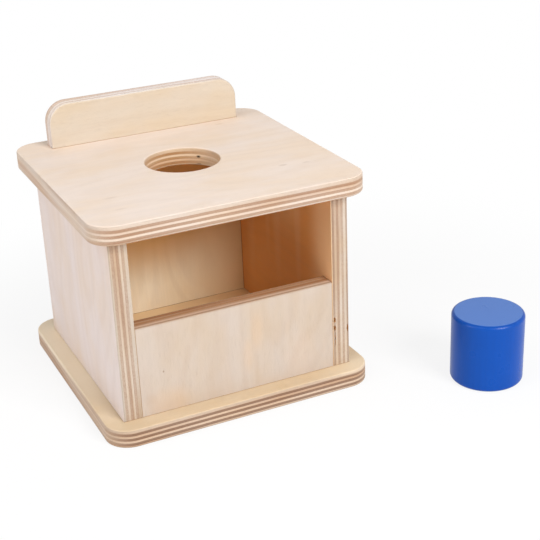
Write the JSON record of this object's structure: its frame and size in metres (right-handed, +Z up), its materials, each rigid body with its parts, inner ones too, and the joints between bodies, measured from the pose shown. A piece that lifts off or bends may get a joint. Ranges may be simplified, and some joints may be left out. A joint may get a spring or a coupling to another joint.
{
  "type": "object permanence box",
  "caption": "Plywood toy box with a round hole in its top, a stop behind the hole, an open front over a low lip, and a loose round blue cylinder that drops through the hole.",
  "frame": {"origin": "middle of the base plate's underside, on the surface that the box stands on", "axes": "+Z up; the open front faces -Y and the stop stands towards +Y; +X is to the right seen from the front, where the cylinder stands"},
  "size_m": [0.2715, 0.23, 0.174],
  "materials": {
    "birch_plywood": "sanded and clear sealed, satin",
    "beech_dowel": "raw",
    "blue_lacquer": "opaque lacquer, semi-gloss"
  },
  "bodies": {
    "box": {"base_plate": "birch_plywood", "left_side": "birch_plywood", "right_side": "birch_plywood", "back_panel": "birch_plywood", "front_lip": "birch_plywood", "top_plate": "birch_plywood", "back_stop": "birch_plywood", "dowel_back_left_1": "beech_dowel", "dowel_back_left_2": "beech_dowel", "dowel_back_right_1": "beech_dowel", "dowel_back_right_2": "beech_dowel", "dowel_base_back_1": "beech_dowel", "dowel_base_back_2": "beech_dowel", "dowel_base_left_1": "beech_dowel", "dowel_base_left_2": "beech_dowel", "dowel_base_left_3": "beech_dowel", "dowel_base_lip_1": "beech_dowel", "dowel_base_lip_2": "beech_dowel", "dowel_base_right_1": "beech_dowel", "dowel_base_right_2": "beech_dowel", "dowel_base_right_3": "beech_dowel", "dowel_lip_left_1": "beech_dowel", "dowel_lip_left_2": "beech_dowel", "dowel_lip_right_1": "beech_dowel", "dowel_lip_right_2": "beech_dowel", "dowel_stop_1": "beech_dowel", "dowel_stop_2": "beech_dowel", "dowel_stop_3": "beech_dowel", "dowel_top_back_1": "beech_dowel", "dowel_top_back_2": "beech_dowel", "dowel_top_left_1": "beech_dowel", "dowel_top_left_2": "beech_dowel", "dowel_top_left_3": "beech_dowel", "dowel_top_right_1": "beech_dowel", "dowel_top_right_2": "beech_dowel", "dowel_top_right_3": "beech_dowel"},
    "cylinder": {"cylinder": "blue_lacquer"}
  },
  "joints": [
    {"name": "cylinder_lift", "type": "slide", "parent": "box", "child": "cylinder", "axis": [0, 0, 1], "range_m": [0, 0.2]}
  ]
}
